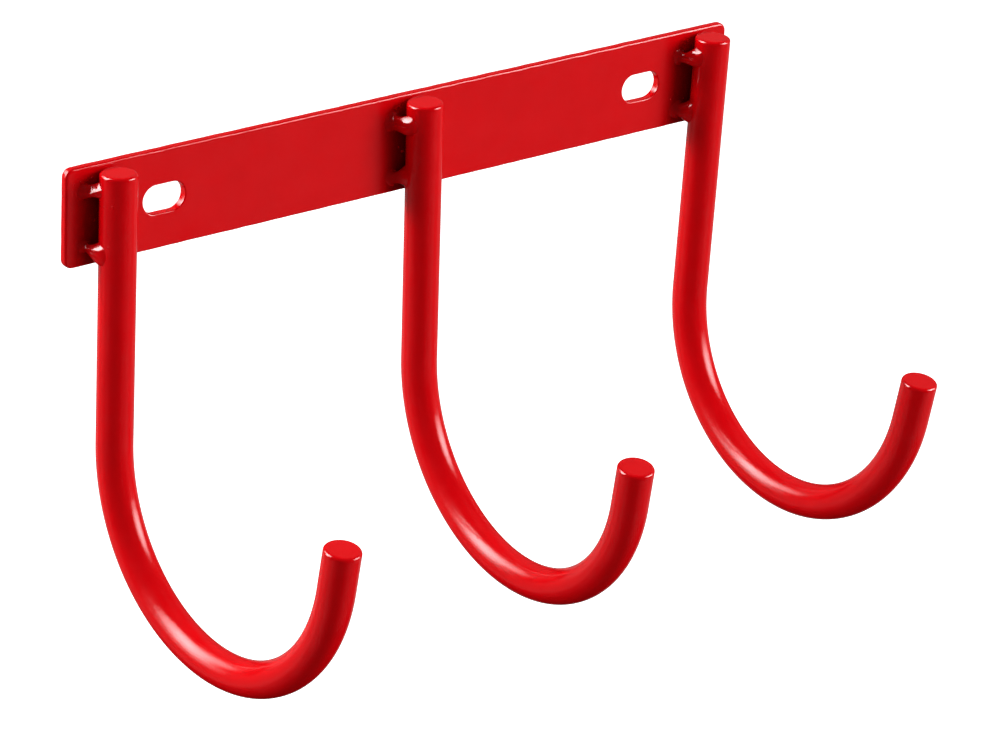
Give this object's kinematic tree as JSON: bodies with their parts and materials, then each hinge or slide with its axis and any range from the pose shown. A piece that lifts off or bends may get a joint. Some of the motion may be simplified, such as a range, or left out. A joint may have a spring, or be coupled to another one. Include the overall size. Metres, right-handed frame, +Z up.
{
  "type": "three-hook holder",
  "caption": "Wall rack of J-shaped round-bar hooks tack welded in a row to a flat plate with oblong screw slots, powder coated red all over.",
  "frame": {"origin": "centre of the plate's back face, which lies flat on the wall", "axes": "+X along the plate to the right as seen from the front, +Y into the wall, +Z up; the hooks reach out along -Y"},
  "size_m": [0.28, 0.1346, 0.1596],
  "materials": {
    "red_powder_coat": "glossy red powder coat"
  },
  "bodies": {
    "root": {"back_plate": "red_powder_coat", "left_hook": "red_powder_coat", "left_hook_upper_left_weld": "red_powder_coat", "left_hook_upper_right_weld": "red_powder_coat", "left_hook_lower_left_weld": "red_powder_coat", "left_hook_lower_right_weld": "red_powder_coat", "middle_hook": "red_powder_coat", "middle_hook_upper_left_weld": "red_powder_coat", "middle_hook_upper_right_weld": "red_powder_coat", "middle_hook_lower_left_weld": "red_powder_coat", "middle_hook_lower_right_weld": "red_powder_coat", "right_hook": "red_powder_coat", "right_hook_upper_left_weld": "red_powder_coat", "right_hook_upper_right_weld": "red_powder_coat", "right_hook_lower_left_weld": "red_powder_coat", "right_hook_lower_right_weld": "red_powder_coat"}
  },
  "joints": []
}
